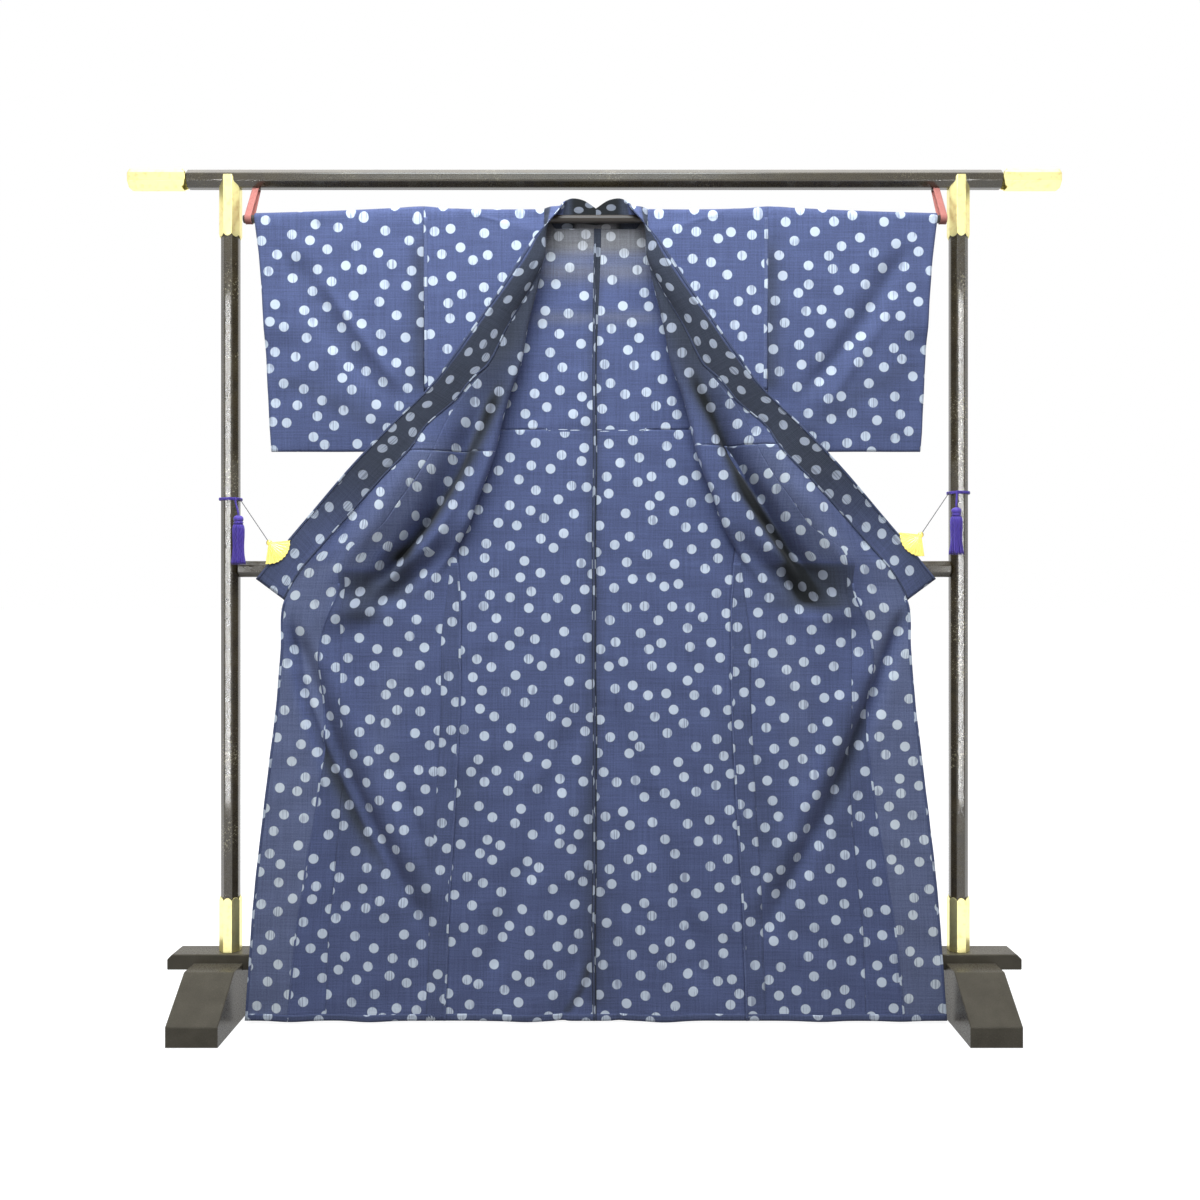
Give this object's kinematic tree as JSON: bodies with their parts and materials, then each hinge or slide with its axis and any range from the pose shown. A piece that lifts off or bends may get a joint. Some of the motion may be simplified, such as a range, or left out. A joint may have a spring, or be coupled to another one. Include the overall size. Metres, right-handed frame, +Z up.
{
  "type": "cotton yukata robe on a lacquered kimono stand",
  "caption": "Dotted cotton yukata robe hung open on a lacquered wooden kimono stand, its fronts turned outwards and held by gilt collar clips.",
  "frame": {"origin": "on the floor, under the middle of the stand", "axes": "+X to the right as seen from the front, the front faces -Y, +Z up"},
  "size_m": [1.893, 0.365, 1.7192],
  "materials": {
    "cotton": "plain-weave indigo cotton with printed white dots",
    "lacquer": "glossy dark brown-black lacquer",
    "gilt": "satin gold plating",
    "strap": "matte woven tape",
    "purple": "soft twisted rayon",
    "grey_cord": "matte thin cord"
  },
  "bodies": {
    "root": {"base_plank": "lacquer", "lower_rail": "lacquer", "top_bar": "lacquer", "hanging_rod": "lacquer", "foot_left": "lacquer", "post_left": "lacquer", "bar_cap_left": "gilt", "top_fitting_left": "gilt", "base_fitting_left": "gilt", "collar_clip_left": "gilt", "strap_left": "strap", "post_wrap_left": "purple", "tassel_stem_left": "purple", "tassel_left": "purple", "pull_cord_left": "grey_cord", "back_body_left": "cotton", "front_body_left": "cotton", "overlap_left": "cotton", "collar_left": "cotton", "sleeve_left": "cotton", "foot_right": "lacquer", "post_right": "lacquer", "bar_cap_right": "gilt", "top_fitting_right": "gilt", "base_fitting_right": "gilt", "collar_clip_right": "gilt", "strap_right": "strap", "post_wrap_right": "purple", "tassel_stem_right": "purple", "tassel_right": "purple", "pull_cord_right": "grey_cord", "back_body_right": "cotton", "front_body_right": "cotton", "overlap_right": "cotton", "collar_right": "cotton", "sleeve_right": "cotton"}
  },
  "joints": []
}
